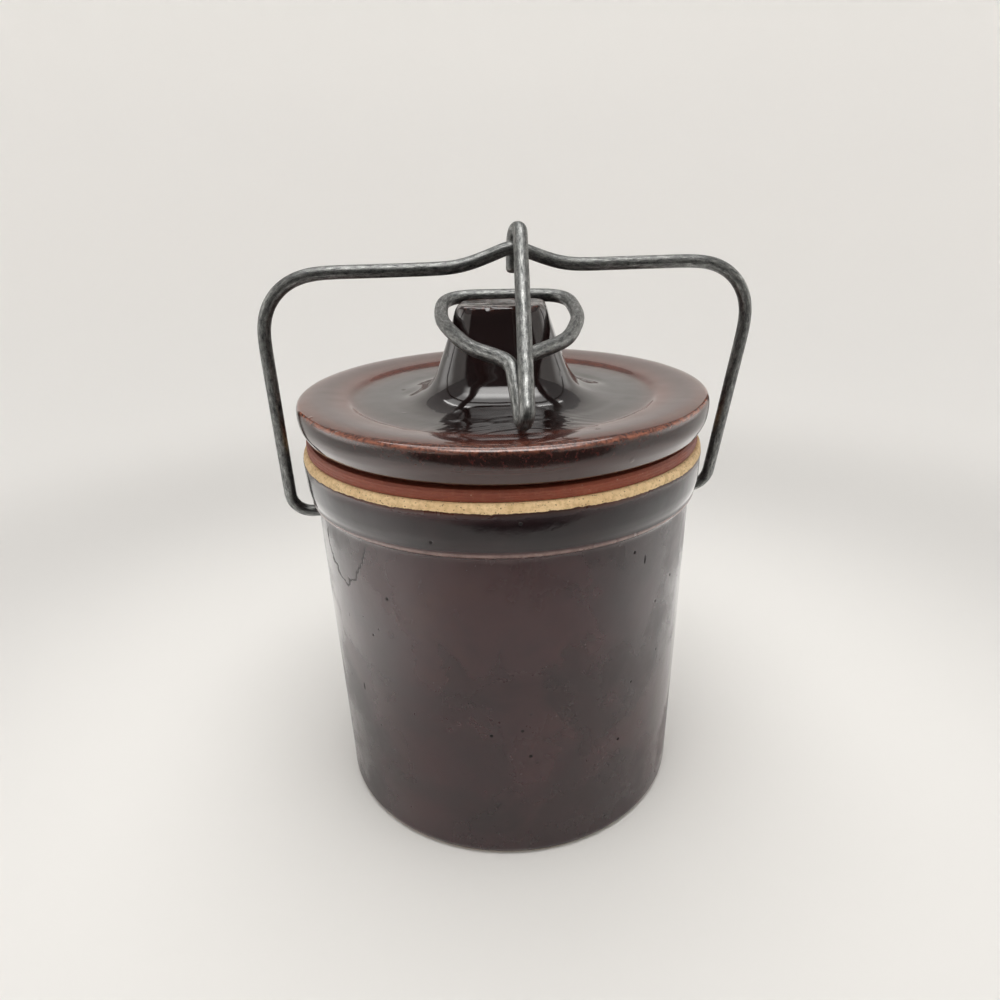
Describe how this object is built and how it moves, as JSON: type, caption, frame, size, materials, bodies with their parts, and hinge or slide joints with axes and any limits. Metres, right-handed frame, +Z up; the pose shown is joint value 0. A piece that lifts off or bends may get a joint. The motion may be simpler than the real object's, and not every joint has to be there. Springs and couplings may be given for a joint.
{
  "type": "cheese crock with wire bail closure",
  "caption": "Stoneware cheese crock: straight glazed jar, rubber sealing ring, lid with a post knob, hinged wire bail and a bent wire locking lever.",
  "frame": {"origin": "centre of the flat foot, on the surface that the crock stands on", "axes": "+Z up the jar's axis, X along the bail's hinge line, -Y the front, where the lever's thumb hairpin lies"},
  "size_m": [0.1158, 0.0997, 0.1437],
  "materials": {
    "jar_glaze": "dark brown semi-gloss glaze with a bare tan rim",
    "lid_glaze": "dark red-brown high-gloss glaze",
    "ring_rubber": "matte brick-red rubber",
    "wire": "dull galvanised steel wire"
  },
  "bodies": {
    "jar": {"crock": "jar_glaze", "sealing_ring": "ring_rubber", "lid": "lid_glaze"},
    "bail": {"bail": "wire"},
    "lever": {"lever": "wire"}
  },
  "joints": [
    {"name": "bail_swing", "type": "hinge", "parent": "jar", "child": "bail", "pos_m": [0, 0, 0.0755], "axis": [-1, 0, 0], "range_deg": [0, 125]},
    {"name": "lever_swing", "type": "hinge", "parent": "bail", "child": "lever", "pos_m": [0.0034, -0.0082, 0.13776], "axis": [-1, 0, 0], "range_deg": [0, 181.5]}
  ],
  "couplings": [
    {"joint": "lever_swing", "follows": "bail_swing", "ratio": 1.45}
  ]
}
